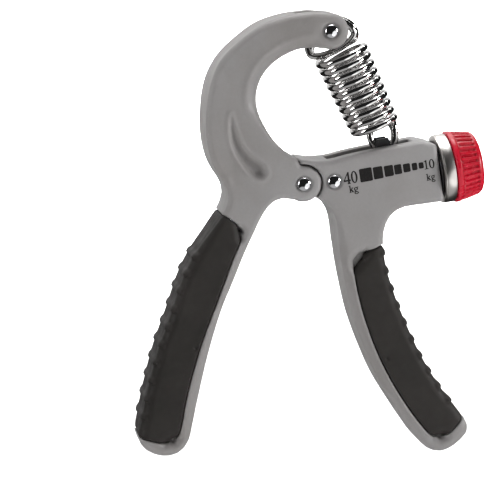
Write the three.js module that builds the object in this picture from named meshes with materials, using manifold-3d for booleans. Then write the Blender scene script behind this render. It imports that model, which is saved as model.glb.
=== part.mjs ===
// Adjustable hand grip strengthener.
// Millimetres, +Z up. The origin is the centre of the main pivot. X runs from the hook side to the
// knob side, Y runs through the thickness (the front face looks towards -Y), and the two levers lie
// in the XZ plane. The arm that carries the adjuster has a frame of its own: u along the lead
// screw, outwards from the pivot, and w across it, upwards.

import * as THREE from "three";
import { mergeVertices } from "three/addons/utils/BufferGeometryUtils.js";
import Module from "manifold-3d";

const wasm = await Module();
wasm.setup();

// ---------------------------------------------------------------- driving dimensions

const GAP = 0.3; // clearance between neighbouring pieces
const HALF_DEPTH = 10; // half the thickness of both levers
const EDGE = 2; // chamfered edge of the two mouldings
const CURVE_STEP = 3; // length of one straight piece of a curved outline
const PAST = 5; // how far a cutting shape runs past the piece it cuts

const KNUCKLE_RADIUS = 6.5; // round end of the hook's two cheeks
const TONGUE_RADIUS = 6.2; // round end of the other lever, between the cheeks
const TONGUE_HALF = 3.4;
const CHEEK_INNER = 4.5; // distance of each cheek's inner face from the middle
const SHOULDER_ANGLE = 101; // where the opening stop leaves the knuckle, in degrees
const UNDER_ANGLE = -120.5; // where the underside leaves the knuckle

const TIP = [9.5, 53.7]; // rivet that holds the spring, as x and z
const TIP_RADIUS = 6.4;
const FORK = { half: 3, start: -2, end: 30, bottom: 40, top: 70 }; // slot in the hook's tip

const ARM_TILT = THREE.MathUtils.degToRad(9); // the arm rises towards the knob
const ARM_DROP = 4.94; // the screw's axis passes this far below the pivot
const ARM_END = 49.4; // u of the arm's open end
const ARM_HALF = 10.4; // half its height there
const CAVITY = { start: 8.2, half: 5.2, floor: -4.8, roof: 8.6 };
const SLOT = { start: 10.5, end: 42, half: 3.5, top: 20 };

const NUT_U = 31.63; // where the travelling nut stands at rest
const NUT_HOOK_W = 13.1; // height of its cross bar above the screw
const NUT = { halfLength: 6, halfWidth: 4.9, bottom: -4.4, top: 7.6, bore: 2.7 };
const EAR = {
  inner: 1.6, outer: 3.1, halfFoot: 2.7, halfHead: 2, bar: 1.45, barEnd: 2.1, foot: 6.6, top: 14.9,
};

const SCREW_RADIUS = 2.3;
const SCREW_END = 63.2;
const JOURNAL_RADIUS = 1.3;
const ANCHOR = {
  u: 10.87, w: 3.88, start: 8.5, end: 14.5, halfWidth: 4.6, floor: -4.4, roof: 8, wall: 1,
};

// Rivet heads: each stands in a shallow seat, with a short rim, a crown and a low top.
const HEAD = { radius: 2.5, seat: 0.5, sunk: 0.2, rim: 0.4, crown: 0.8, crownRadius: 1.8, top: 1.1 };
const RIVET = { pivot: 1.6, tip: 1.8, anchor: 1.3 }; // shank radii
const SCOOP_DEPTH = 1.4; // recess in both faces of the hook
const BUSH = { outer: 2.9 };
const WASHER = { outer: 5.4, middle: (TONGUE_HALF + CHEEK_INNER) / 2, half: 0.25 };

const GRIP_SKIN = 3; // rubber over the handle's edge
const CORE_HALF = 6.5; // half the thickness of the handle under the rubber

const WIRE = 1.25; // radius of the spring wire
const COIL_RADIUS = 8.1; // centre line of the coil
const COIL_START = 11.2; // distance of the first turn from the tip rivet, along the spring
const COIL_PITCH = 3.02;
const COIL_TURNS = 8.25;
// The open ring over the tip rivet: its centre's distance from the rivet, and half its opening.
const UPPER_RING = { radius: 8.6, distance: 8.6 - WIRE - RIVET.tip - GAP, openHalf: 70 };
const LOWER_RING = { radius: 3.95, stretch: 1.3, shift: 0.2 };

const PLUG = { radius: 7.4, start: 39.4, rim: 10.6, flange: 50.7 };
const COLLAR = { start: 51, end: 54.6, radius: 12.4, recess: 1.2, wall: 2, chamfer: 0.5 };
const THRUST_RADIUS = 7.5;
const KNOB = { start: 54.9, end: 65.7, rim: 12.9, face: 11.6, shoulder: 62.9, rimWidth: 2 };
const FLUTES = { count: 35, radius: 0.5, depth: 0.2, inset: 2.3 };
const HEXAGON = { radius: 4.6, thickness: 3.2 };
const NUT_POCKET = { start: 58.6, radius: 5 };
const CAP_RADIUS = 8.6;
const CAP = { thickness: 2.2, edge: 1.5, dome: 0.3, rim: 1 };

// ---------------------------------------------------------------- outlines, as x and z

const HOOK_INSIDE = [
  [-2.2, 8.9], [-5.2, 10.6], [-9.5, 14.2], [-13.2, 19.3], [-16.1, 25.7], [-16.7, 31.4],
  [-15.2, 36.9], [-12.3, 41.1], [-8.1, 44.5], [-1.9, 47.3], [3.9, 48.0],
];
const HOOK_OUTSIDE = [
  [3.9, 60.4], [-5.3, 59.3], [-14.5, 56.4], [-22.3, 51.0], [-29.3, 44.1], [-33.3, 35.1],
  [-34.8, 22.5], [-34.4, 15.4], [-33.0, 9.0], [-31.0, 4.6], [-28.5, 0.9], [-26.9, -3.4],
  [-28.0, -8.6], [-32.6, -15.6], [-39.0, -24.6], [-43.3, -33.2], [-47.5, -45.6],
  [-52.1, -58.4], [-55.5, -70.8], [-58.3, -83.8], [-59.2, -90.6], [-57.6, -93.9],
  [-53.8, -96.4], [-48.6, -97.3], [-44.1, -95.7], [-41.3, -92.0], [-39.8, -86.0],
  [-38.2, -78.2], [-33.9, -60.0], [-29.0, -44.0], [-25.2, -35.0], [-21.3, -25.4],
  [-18.0, -18.0], [-14.6, -10.6], [-11.0, -6.3], [-7.4, -5.0],
];
const HOOK_GRIP_EDGE = [
  [-40.0, -1.0], [-29.5, -9.6], [-24.0, -13.6], [-21.6, -16.4], [-22.4, -19.8],
  [-24.8, -25.0], [-28.6, -35.1], [-32.5, -45.3], [-36.3, -55.5], [-39.6, -66.3],
  [-42.2, -76.6], [-44.2, -87.0], [-45.6, -91.3], [-48.2, -92.8], [-52.5, -92.0],
  [-57.0, -90.7], [-64.0, -88.4],
];
const SCOOP = [
  [-26.4, 25.5], [-26.6, 17.0], [-23.9, 9.8], [-18.6, 3.0], [-15.2, 1.8], [-13.1, 4.4],
  [-14.8, 7.4], [-19.7, 10.6], [-24.0, 17.4],
];
const HOOK_GRIP_BEYOND = [[-75, -88], [-60, 8]]; // closes the rubber's zone outside the handle
const SHOULDER = [-1.8, 8.8]; // corner of the opening stop
const INSIDE_KNUCKLE = [[1, -1], [-0.6, 3]]; // closes the arm's outline under the tongue
const ARM_TOP = [
  [4.2, 7.9], [10.2, 8.2], [16.0, 9.6], [24.7, 11.3], [37.1, 13.3],
  [42.8, 14.2], [45.6, 13.6],
];
const HANDLE_OUTSIDE = [
  [42.5, -8.4], [36.0, -9.3], [32.3, -11.4], [30.0, -15.0], [29.2, -19.4], [29.6, -25.5],
  [31.2, -33.0], [34.0, -41.5], [37.6, -50.5], [42.2, -60.5], [47.0, -69.2], [52.6, -77.6],
  [58.0, -84.6], [61.3, -89.6], [61.5, -92.4], [59.4, -95.2], [55.4, -98.4], [51.2, -99.8],
  [47.2, -98.8], [43.7, -96.0], [38.9, -89.4], [33.4, -81.1], [28.0, -72.2], [22.5, -59.9],
  [18.4, -48.5], [15.7, -37.2], [14.0, -28.6], [12.8, -20.1], [12.2, -14.5], [11.3, -11.5],
  [9.9, -9.0], [7.6, -7.2], [4.6, -5.2],
];
const HANDLE_GRIP_EDGE = [
  [38.0, -15.5], [29.5, -21.8], [24.0, -24.4], [20.6, -25.5], [18.5, -27.4], [18.1, -30.5],
  [19.0, -36.8], [21.4, -46.6], [26.1, -59.9], [31.5, -71.2], [38.2, -82.1], [44.3, -90.3],
  [47.7, -93.8], [50.4, -94.9], [53.2, -94.0], [56.3, -90.8], [59.0, -87.8], [66.0, -80.5],
];
const HANDLE_GRIP_BEYOND = [[80, -80], [60, -10]];

// ---------------------------------------------------------------- helpers

const material = (color, roughness, metalness) =>
  new THREE.MeshStandardMaterial({ color, roughness, metalness });

const finishes = {
  grey: material(0x8f8c8a, 0.5, 0),
  rubber: material(0x2c2a29, 0.8, 0),
  chrome: material(0xd9d9dc, 0.12, 1),
  steel: material(0xa9a9ab, 0.35, 1),
  brass: material(0xb08d4a, 0.35, 1),
  nylon: material(0x1c1c1d, 0.55, 0),
  washer: material(0xe4e1d8, 0.5, 0),
  red: material(0xb80f2e, 0.3, 0),
};

// A smooth run through a few points, as evenly spaced points.
function smooth(points, closed = false, step = CURVE_STEP) {
  const through = points.map(([x, z]) => new THREE.Vector3(x, z, 0));
  const curve = new THREE.CatmullRomCurve3(through, closed, "centripetal");
  const pieces = Math.ceil(curve.getLength() / step);
  const run = curve.getSpacedPoints(pieces).map((p) => new THREE.Vector2(p.x, p.y));
  return closed ? run.slice(0, -1) : run;
}

// Points on an arc round a centre, from one angle to another, in degrees.
function arc([x, z], radius, from, to, step = 12) {
  const pieces = Math.ceil(Math.abs(to - from) / step);
  return Array.from({ length: pieces + 1 }, (_, i) => {
    const angle = THREE.MathUtils.degToRad(from + ((to - from) * i) / pieces);
    return new THREE.Vector2(x + radius * Math.cos(angle), z + radius * Math.sin(angle));
  });
}

// Distance from a point to the nearest side of an outline.
function distanceTo(outline, point) {
  const foot = new THREE.Vector3();
  const at = new THREE.Vector3(point.x, point.y, 0);
  const side = new THREE.Line3();
  return Math.min(...outline.map((corner, i) => {
    const next = outline[(i + 1) % outline.length];
    side.set(new THREE.Vector3(corner.x, corner.y, 0), new THREE.Vector3(next.x, next.y, 0));
    return side.closestPointToPoint(at, true, foot).distanceTo(at);
  }));
}

// An outline moved inwards, which is to the left of each step on a counter-clockwise outline.
// Points that end up too near another side are dropped.
function shrunk(shape, inset) {
  const tooNear = inset * 0.97;
  const outline = THREE.ShapeUtils.isClockWise(shape) ? [...shape].reverse() : shape;
  const moved = outline.map((corner, i) => {
    const before = outline[(i + outline.length - 1) % outline.length];
    const after = outline[(i + 1) % outline.length];
    const along = after.clone().sub(before).normalize();
    return new THREE.Vector2(corner.x - along.y * inset, corner.y + along.x * inset);
  });
  return moved.filter((point) => distanceTo(outline, point) > tooNear);
}

// An outline in the XZ plane, made as thick as y says, with a chamfered edge.
function slab(outline, yMin, yMax, edge = 0) {
  const geometry = new THREE.ExtrudeGeometry(new THREE.Shape(outline), {
    depth: yMax - yMin - 2 * edge,
    bevelEnabled: edge > 0,
    bevelThickness: edge,
    bevelSize: edge,
    bevelOffset: -edge,
    bevelSegments: 1,
  });
  return geometry.translate(0, 0, edge - yMax).rotateX(Math.PI / 2);
}

// A plate with a chamfered edge through the whole depth, even about y = 0.
const plate = (outline, half, edge) => slab(outline, -half, half, edge);

// A turned piece: its profile holds pairs of height along the axis and radius, in either direction.
function turned(profile, sides = 32) {
  const points = profile.map(([along, radius]) => new THREE.Vector2(radius, along));
  if (THREE.ShapeUtils.isClockWise(points)) points.reverse();
  return new THREE.LatheGeometry(points, sides);
}

// The same, with the axis along +Y, placed over a point of the XZ plane.
const turnedAcross = (profile, [x, z], sides) => turned(profile, sides).translate(x, 0, z);

// The same, with the axis along the lead screw.
const turnedAlong = (profile, sides) => turned(profile, sides).rotateZ(-Math.PI / 2);

const pin = (radius, from, to) => [[from, 0], [from, radius], [to, radius], [to, 0]];

const tube = (inner, outer, from, to) =>
  [[from, inner], [from, outer], [to, outer], [to, inner], [from, inner]];

function box([x0, y0, z0], [x1, y1, z1]) {
  const geometry = new THREE.BoxGeometry(x1 - x0, y1 - y0, z1 - z0);
  return geometry.translate((x0 + x1) / 2, (y0 + y1) / 2, (z0 + z1) / 2);
}

// A closed geometry as a solid for joining and cutting.
function solid(source) {
  const geometry = source.clone();
  geometry.deleteAttribute("normal");
  geometry.deleteAttribute("uv");
  const merged = mergeVertices(geometry, 1e-4);
  const index = Array.from(merged.index.array);
  const triangles = [];
  for (let i = 0; i < index.length; i += 3) {
    const [a, b, c] = index.slice(i, i + 3);
    if (a !== b && b !== c && c !== a) triangles.push(a, b, c);
  }
  return new wasm.Manifold(new wasm.Mesh({
    numProp: 3,
    vertProperties: new Float32Array(merged.attributes.position.array),
    triVerts: new Uint32Array(triangles),
  }));
}

const join = (...pieces) => pieces.reduce((whole, piece) => whole.add(piece));
const cut = (whole, ...tools) => tools.reduce((left, tool) => left.subtract(tool), whole);

function named(name, shape, finish) {
  let geometry = shape;
  if (!shape.isBufferGeometry) {
    const mesh = shape.getMesh();
    geometry = new THREE.BufferGeometry();
    geometry.setAttribute("position", new THREE.BufferAttribute(mesh.vertProperties, 3));
    geometry.setIndex(new THREE.BufferAttribute(mesh.triVerts, 1));
    geometry.computeVertexNormals();
  }
  const piece = new THREE.Mesh(geometry, finish);
  piece.name = name;
  return piece;
}

// ---------------------------------------------------------------- the arm's frame

const arm = new THREE.Group();
arm.rotation.y = -ARM_TILT;
arm.position.set(ARM_DROP * Math.sin(ARM_TILT), 0, -ARM_DROP * Math.cos(ARM_TILT));
arm.updateMatrix();

const inArm = (geometry) => solid(geometry.applyMatrix4(arm.matrix));

function armPoint(u, w) {
  const point = new THREE.Vector3(u, 0, w).applyMatrix4(arm.matrix);
  return [point.x, point.z];
}

const NUT_HOOK = armPoint(NUT_U, NUT_HOOK_W);
const ANCHOR_RIVET = armPoint(ANCHOR.u, ANCHOR.w);

// ---------------------------------------------------------------- shared pieces of both levers

// A rubber grip wraps the handle's outer edge and both faces. The handle's core runs on inside it.
function sleeved(outline, handle, gripEdge, outside) {
  const zone = smooth(gripEdge).concat(outside.map(([x, z]) => new THREE.Vector2(x, z)));
  const deep = 2 * HALF_DEPTH;
  const whole = solid(plate(outline, HALF_DEPTH, EDGE));
  const core = solid(plate(shrunk(handle, GRIP_SKIN), CORE_HALF));
  const coreRoom = solid(plate(shrunk(handle, GRIP_SKIN - GAP), CORE_HALF + GAP));
  const gripZone = solid(plate(shrunk(zone, GAP), deep));
  const gripRoom = solid(plate(zone, deep));
  return {
    lever: cut(whole, cut(gripRoom, core)),
    grip: cut(whole.intersect(gripZone), coreRoom),
  };
}

// A hole for a rivet, with a shallow seat for its head on both faces.
function rivetHole(at, radius) {
  const seat = HEAD.radius + GAP;
  const floor = HALF_DEPTH - HEAD.seat;
  const far = HALF_DEPTH + PAST;
  return solid(turnedAcross([
    [-far, 0], [-far, seat], [-floor, seat], [-floor, radius + GAP],
    [floor, radius + GAP], [floor, seat], [far, seat], [far, 0],
  ], at, 24));
}

// A rivet with its head at the front, and the cap that closes it at the back.
function rivet(name, at, radius) {
  const face = HALF_DEPTH - HEAD.sunk;
  const head = (side) => [
    [side * face, HEAD.radius], [side * (face + HEAD.rim), HEAD.radius],
    [side * (face + HEAD.crown), HEAD.crownRadius], [side * (face + HEAD.top), 0],
  ];
  const body = [[face - GAP, 0], [face - GAP, radius], [-face, radius], ...head(-1)];
  const cap = [[face, 0], ...head(1)];
  return [
    named(name, turnedAcross(body, at, 20), finishes.chrome),
    named(`${name}_cap`, turnedAcross(cap, at, 20), finishes.chrome),
  ];
}

// ---------------------------------------------------------------- hook lever

function hookSide() {
  const outline = [
    ...arc([0, 0], KNUCKLE_RADIUS, UNDER_ANGLE, SHOULDER_ANGLE, 10),
    ...smooth(HOOK_INSIDE),
    ...arc(TIP, TIP_RADIUS, -105, 72),
    ...smooth(HOOK_OUTSIDE),
  ];
  const { lever, grip } = sleeved(outline, outline, HOOK_GRIP_EDGE, HOOK_GRIP_BEYOND);
  const clevis = solid(turnedAcross(
    pin(KNUCKLE_RADIUS + GAP, -CHEEK_INNER, CHEEK_INNER), [0, 0], 40));
  const fork = solid(box([FORK.start, -FORK.half, FORK.bottom], [FORK.end, FORK.half, FORK.top]));
  const scoop = smooth(SCOOP, true);
  const frontScoop = solid(slab(scoop, -HALF_DEPTH - PAST, -HALF_DEPTH + SCOOP_DEPTH));
  const rearScoop = solid(slab(scoop, HALF_DEPTH - SCOOP_DEPTH, HALF_DEPTH + PAST));
  const frame = cut(lever, clevis, fork, frontScoop, rearScoop,
    rivetHole([0, 0], RIVET.pivot), rivetHole(TIP, RIVET.tip));
  return [
    named("hook_lever", frame, finishes.grey),
    named("hook_grip", grip, finishes.rubber),
    ...rivet("tip_rivet", TIP, RIVET.tip),
    ...rivet("pivot_rivet", [0, 0], RIVET.pivot),
  ];
}

// ---------------------------------------------------------------- arm lever

function armSide() {
  const handle = smooth(HANDLE_OUTSIDE);
  const outline = [
    new THREE.Vector2(...SHOULDER),
    ...smooth(ARM_TOP),
    new THREE.Vector2(...armPoint(ARM_END, ARM_HALF)),
    new THREE.Vector2(...armPoint(ARM_END, -ARM_HALF)),
    ...handle,
    ...INSIDE_KNUCKLE.map(([x, z]) => new THREE.Vector2(x, z)),
  ];
  const core = smooth(HANDLE_OUTSIDE.slice(2, -3), true);
  const { lever, grip } = sleeved(outline, core, HANDLE_GRIP_EDGE, HANDLE_GRIP_BEYOND);
  const tongue = solid(turnedAcross(pin(TONGUE_RADIUS, -TONGUE_HALF, TONGUE_HALF), [0, 0], 40));
  const recess = KNUCKLE_RADIUS + GAP;
  const far = HALF_DEPTH + PAST;
  const frontRecess = solid(turnedAcross(pin(recess, -far, -TONGUE_HALF), [0, 0], 40));
  const rearRecess = solid(turnedAcross(pin(recess, TONGUE_HALF, far), [0, 0], 40));
  const bushSeat = solid(turnedAcross(pin(BUSH.outer + GAP, -far, far), [0, 0], 24));
  const cavity = inArm(box(
    [CAVITY.start, -CAVITY.half, CAVITY.floor], [ARM_END + PAST, CAVITY.half, CAVITY.roof]));
  const slot = inArm(box(
    [SLOT.start, -SLOT.half, CAVITY.roof - 1], [SLOT.end, SLOT.half, SLOT.top]));
  const mouth = inArm(turnedAlong(pin(PLUG.radius + GAP, PLUG.start - GAP, ARM_END + PAST), 32));
  const frame = cut(join(lever, tongue), frontRecess, rearRecess, bushSeat, cavity, slot,
    mouth, rivetHole(ANCHOR_RIVET, RIVET.anchor));
  return [
    named("arm_lever", frame, finishes.grey),
    named("arm_grip", grip, finishes.rubber),
    ...rivet("anchor_rivet", ANCHOR_RIVET, RIVET.anchor),
    named("pivot_bush", turnedAcross(
      tube(RIVET.pivot + GAP, BUSH.outer, -TONGUE_HALF, TONGUE_HALF), [0, 0], 24), finishes.brass),
    ...[-1, 1].map((side) => named(
      side < 0 ? "pivot_washer_front" : "pivot_washer_rear",
      turnedAcross(tube(RIVET.pivot + GAP, WASHER.outer,
        side * WASHER.middle - WASHER.half, side * WASHER.middle + WASHER.half), [0, 0], 24),
      finishes.washer)),
  ];
}

// ---------------------------------------------------------------- adjuster, in the arm's frame

function screwAnchor() {
  const block = solid(box(
    [ANCHOR.start, -ANCHOR.halfWidth, ANCHOR.floor], [ANCHOR.end, ANCHOR.halfWidth, ANCHOR.roof]));
  const journal = solid(turnedAlong(
    pin(JOURNAL_RADIUS + GAP, ANCHOR.start + ANCHOR.wall, ANCHOR.end + PAST), 20));
  const across = solid(turnedAcross(
    pin(RIVET.anchor + GAP, -HALF_DEPTH, HALF_DEPTH), [ANCHOR.u, ANCHOR.w], 20));
  return named("screw_anchor", cut(block, journal, across), finishes.nylon);
}

function leadScrew() {
  const journalStart = ANCHOR.start + ANCHOR.wall + GAP;
  const threadStart = ANCHOR.end + GAP;
  return named("lead_screw", turnedAlong([
    [journalStart, 0], [journalStart, JOURNAL_RADIUS], [threadStart, JOURNAL_RADIUS],
    [threadStart, SCREW_RADIUS], [SCREW_END, SCREW_RADIUS], [SCREW_END, 0],
  ], 20), finishes.steel);
}

// The nut runs on the screw. Its two ears stand up through the slot and hold the cross bar.
function travelNut() {
  const body = solid(box(
    [-NUT.halfLength, -NUT.halfWidth, NUT.bottom], [NUT.halfLength, NUT.halfWidth, NUT.top]));
  const profile = [
    [-EAR.halfFoot, EAR.foot], [EAR.halfFoot, EAR.foot],
    [EAR.halfFoot, NUT_HOOK_W], [EAR.halfHead, EAR.top],
    [-EAR.halfHead, EAR.top], [-EAR.halfFoot, NUT_HOOK_W],
  ].map(([u, w]) => new THREE.Vector2(u, w));
  const ears = solid(plate(profile, EAR.outer));
  const window = solid(box(
    [-NUT.halfLength, -EAR.inner, NUT.top], [NUT.halfLength, EAR.inner, EAR.top + PAST]));
  const bar = solid(turnedAcross(
    pin(EAR.bar, -EAR.barEnd, EAR.barEnd), [0, NUT_HOOK_W], 12));
  const bore = solid(turnedAlong(
    pin(NUT.bore, -NUT.halfLength - PAST, NUT.halfLength + PAST), 24));
  const piece = named("travel_nut", cut(join(cut(join(body, ears), window), bar), bore),
    finishes.nylon);
  piece.position.x = NUT_U;
  return piece;
}

// The plug closes the arm's end and carries the screw. Its flange shows as a dark ring.
function endPlug() {
  const hole = SCREW_RADIUS + GAP;
  const flangeStart = ARM_END + GAP;
  return named("end_plug", turnedAlong([
    [PLUG.start, hole], [PLUG.flange, hole], [PLUG.flange, PLUG.rim], [flangeStart, PLUG.rim],
    [flangeStart, PLUG.radius], [PLUG.start, PLUG.radius], [PLUG.start, hole],
  ], 32), finishes.nylon);
}

function collar() {
  const hole = SCREW_RADIUS + GAP;
  const { start, end, radius, recess, wall, chamfer } = COLLAR;
  return named("collar", turnedAlong([
    [start, hole], [end - recess, hole], [end - recess, radius - wall], [end, radius - wall],
    [end, radius], [start + chamfer, radius], [start, radius - chamfer], [start, hole],
  ], 40), finishes.chrome);
}

function thrustWasher() {
  return named("thrust_washer", turnedAlong(
    tube(SCREW_RADIUS + GAP, THRUST_RADIUS, COLLAR.end - COLLAR.recess + GAP, COLLAR.end),
    28), finishes.washer);
}

// The knob is a fluted cup. A nut locked on the screw's end turns with it, behind a domed cap.
function knob() {
  const { start, end, rim, face, shoulder, rimWidth } = KNOB;
  const hole = SCREW_RADIUS + GAP;
  const capRoom = CAP_RADIUS + GAP;
  const capFloor = end - CAP.thickness - GAP;
  const shell = solid(turnedAlong([
    [start, hole], [NUT_POCKET.start, hole], [NUT_POCKET.start, NUT_POCKET.radius],
    [capFloor, NUT_POCKET.radius], [capFloor, capRoom], [end - CAP.edge, capRoom],
    [end - CAP.edge, face - CAP.rim], [shoulder, face], [start + rimWidth, rim], [start, rim],
    [start, hole],
  ], 60));
  const length = shoulder - start - FLUTES.inset;
  const slope = Math.atan2(rim - face, shoulder - start - rimWidth);
  const grooves = Array.from({ length: FLUTES.count }, (_, i) => {
    const groove = new THREE.CylinderGeometry(FLUTES.radius, FLUTES.radius, length, 4);
    groove.rotateZ(-Math.PI / 2).rotateY(slope);
    groove.translate(start + FLUTES.inset + length / 2, 0, (rim + face) / 2 - FLUTES.depth);
    return solid(groove.rotateX((2 * Math.PI * i) / FLUTES.count));
  });
  return named("knob", cut(shell, ...grooves), finishes.red);
}

function knobNut() {
  const start = NUT_POCKET.start + GAP;
  const hexagon = solid(turnedAlong(pin(HEXAGON.radius, start, start + HEXAGON.thickness), 6));
  const bore = solid(turnedAlong(
    pin(SCREW_RADIUS + GAP, start - PAST, start + HEXAGON.thickness + PAST), 20));
  return named("knob_nut", cut(hexagon, bore), finishes.steel);
}

function knobCap() {
  const { end } = KNOB;
  const under = end - CAP.thickness;
  return named("knob_cap", turnedAlong([
    [under, 0], [end, 0], [end - CAP.dome, CAP_RADIUS / 2], [end - CAP.edge, CAP_RADIUS],
    [under, CAP_RADIUS], [under, 0],
  ], 32), finishes.red);
}

// ---------------------------------------------------------------- spring

// The spring's own frame: its axis runs from the tip rivet to the nut's cross bar.
const springAxis = new THREE.Vector3(NUT_HOOK[0] - TIP[0], 0, NUT_HOOK[1] - TIP[1]).normalize();
const springSide = new THREE.Vector3(-springAxis.z, 0, springAxis.x);

function springPoint(along, side, across = 0) {
  return new THREE.Vector3(TIP[0], across, TIP[1])
    .addScaledVector(springAxis, along)
    .addScaledVector(springSide, side);
}

// Wire bent along a run of points.
function wire(points) {
  const path = new THREE.CatmullRomCurve3(points, false, "centripetal");
  const section = arc([0, 0], WIRE, 0, 360, 60).slice(0, -1);
  return new THREE.ExtrudeGeometry(new THREE.Shape(section), {
    steps: points.length, extrudePath: path, bevelEnabled: false,
  });
}

// The open ring that hangs on the tip rivet.
function springRing() {
  const { radius, distance, openHalf } = UPPER_RING;
  const round = arc([0, 0], radius, openHalf, 360 - openHalf, 15);
  return named("spring_ring", wire(round.map(({ x, y }) => springPoint(distance + x, y))),
    finishes.chrome);
}

function springCoil() {
  const perTurn = 12;
  const coil = Array.from({ length: Math.round(COIL_TURNS * perTurn) + 1 }, (_, i) => {
    const angle = (2 * Math.PI * i) / perTurn;
    const along = COIL_START + (COIL_PITCH * i) / perTurn;
    return springPoint(along, COIL_RADIUS * Math.cos(angle), COIL_RADIUS * Math.sin(angle));
  });
  return named("spring_coil", wire(coil), finishes.chrome);
}

// The small closed ring at the coil's other end passes under the nut's cross bar.
function springHook() {
  const { radius, stretch, shift } = LOWER_RING;
  const bottom = NUT_HOOK_W - EAR.bar - GAP - WIRE * stretch;
  const centre = armPoint(NUT_U + shift, bottom + radius * stretch);
  const geometry = new THREE.TorusGeometry(radius, WIRE, 6, 24).rotateX(Math.PI / 2);
  geometry.scale(1, 1, stretch).rotateY(-ARM_TILT).translate(centre[0], 0, centre[1]);
  return named("spring_hook", geometry, finishes.chrome);
}

// ---------------------------------------------------------------- assembly

arm.add(screwAnchor(), leadScrew(), travelNut(), endPlug(), collar(), thrustWasher(),
  knob(), knobNut(), knobCap());

const gripStrengthener = new THREE.Group();
gripStrengthener.name = "hand_grip_strengthener";
gripStrengthener.add(...hookSide(), ...armSide(), arm, springRing(), springCoil(), springHook());

export default gripStrengthener;
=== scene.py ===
# Adjustable hand grip strengthener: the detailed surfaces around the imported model.
# Lengths are in millimetres in the row frame and become metres when a mesh is made.
# The levers lie in the XZ plane, Y runs through the thickness, and the front face looks towards -Y.

import math

import bmesh
import bpy
import numpy as np
import openvdb
from mathutils import Matrix, Vector


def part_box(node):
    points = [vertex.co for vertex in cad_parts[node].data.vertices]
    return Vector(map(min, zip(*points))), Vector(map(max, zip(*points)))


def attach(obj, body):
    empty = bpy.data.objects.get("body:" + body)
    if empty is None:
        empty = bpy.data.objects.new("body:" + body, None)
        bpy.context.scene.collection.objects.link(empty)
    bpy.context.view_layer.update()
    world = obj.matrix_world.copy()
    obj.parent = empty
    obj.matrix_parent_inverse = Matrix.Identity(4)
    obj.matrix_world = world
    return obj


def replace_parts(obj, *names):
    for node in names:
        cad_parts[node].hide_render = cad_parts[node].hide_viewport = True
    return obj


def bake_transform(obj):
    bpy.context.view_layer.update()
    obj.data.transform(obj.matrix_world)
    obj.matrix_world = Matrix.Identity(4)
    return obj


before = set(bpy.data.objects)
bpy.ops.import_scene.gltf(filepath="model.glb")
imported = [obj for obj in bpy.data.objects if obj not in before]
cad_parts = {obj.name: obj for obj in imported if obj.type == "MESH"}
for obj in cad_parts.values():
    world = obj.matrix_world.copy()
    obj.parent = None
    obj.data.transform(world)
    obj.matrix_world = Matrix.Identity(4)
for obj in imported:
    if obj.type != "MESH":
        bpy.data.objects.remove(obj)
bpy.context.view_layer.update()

# ---------------------------------------------------------------- sizes

MM = 0.001
VOXEL = 0.4

HALF_DEPTH = 10  # half the thickness of both levers
SECTION_Y = -7.8  # a plane that meets each lever and grip at its full outline
CORE_HALF = 6.5  # half the thickness of the handle inside the rubber
GAP = 0.3

KNUCKLE = {"cheek": 6.5, "tongue_half": 3.4, "cheek_inner": 4.5}
TIP = (9.5, 53.7)
ARM_TILT = math.radians(9)
ARM_DROP = 4.94
ANCHOR = (10.87, 3.88)
CAVITY = {"start": 8.2, "half": 5.2, "floor": -4.8, "roof": 8.6}
SLOT = {"start": 10.5, "end": 42, "half": 3.5}
MOUTH = {"start": 39.1, "radius": 7.7}
RIVET = {"head": 2.5, "rise": 1.05, "seat": 0.55}

EYE_CENTRE = (3.0, 29.0)  # middle of the hook's round opening
EYE_REACH = 24  # the opening's edge lies nearer to that than this
STRIP = 3.7  # width of the bevel along the opening

GRIP_RIBS = {"pitch": 6.4, "rise": 0.65, "wrap": 1.9, "reach": 8}
RIB_SIDE = (-2.3, -0.3, 0.75, 1.15)  # along the grip: foot and crest of the slope, crest and foot of the step

WIRE = 1.25
COIL = {
    "top": 8.85, "foot": 7.8, "start": 8.5, "pitch": 3.05,
    "from": 0.12, "turns": 10, "lean": 0.95, "lean_foot": 0.4,
}
UPPER = {"over": 8.3, "under": 3.0, "centre": 5.2, "first": 8.0, "last": 9.5, "side_step": 1.5, "end": 1.46}
LOWER = {"radius": 4.55, "height": 5.7, "side_step": 1.3, "shift": 0.75, "play": 0.15}
NUT_U = 31.63
NUT_BAR_W = 13.1
NUT_BAR = 1.45

COLLAR = {"start": 50.3, "end": 54.6, "radius": 12.4}
KNOB = {"start": 54.9, "end": 65.7, "rim": 12.9, "face": 11.6, "ribs": 35}
PLUG = {"start": 49.65, "end": 50.15, "radius": 10.6}
CAP_RADIUS = 8.6

FLOOR = {"half": 3.0, "height": -0.13, "steps": 12, "glow_from": 0.35, "glow_full": 0.9}  # metres

arm_axis = np.array([math.cos(ARM_TILT), math.sin(ARM_TILT)])
arm_up = np.array([-math.sin(ARM_TILT), math.cos(ARM_TILT)])
arm_origin = -ARM_DROP * arm_up


def arm_point(u, w):
    """A point of the arm's own frame, as x and z."""
    return arm_origin + u * arm_axis + w * arm_up


# ---------------------------------------------------------------- materials


def new_material(name, roughness, metallic=0.0, **sockets):
    """A material with its shader, and the node maker that its pattern is built with."""
    made = bpy.data.materials.new(name)
    made.use_nodes = True
    tree = made.node_tree
    shader = tree.nodes["Principled BSDF"]
    shader.inputs["Roughness"].default_value = roughness
    shader.inputs["Metallic"].default_value = metallic
    for key, value in sockets.items():
        shader.inputs[key.replace("_", " ").capitalize()].default_value = value
    return made, tree, shader


def link(tree, source, target):
    tree.links.new(source, target)


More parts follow.
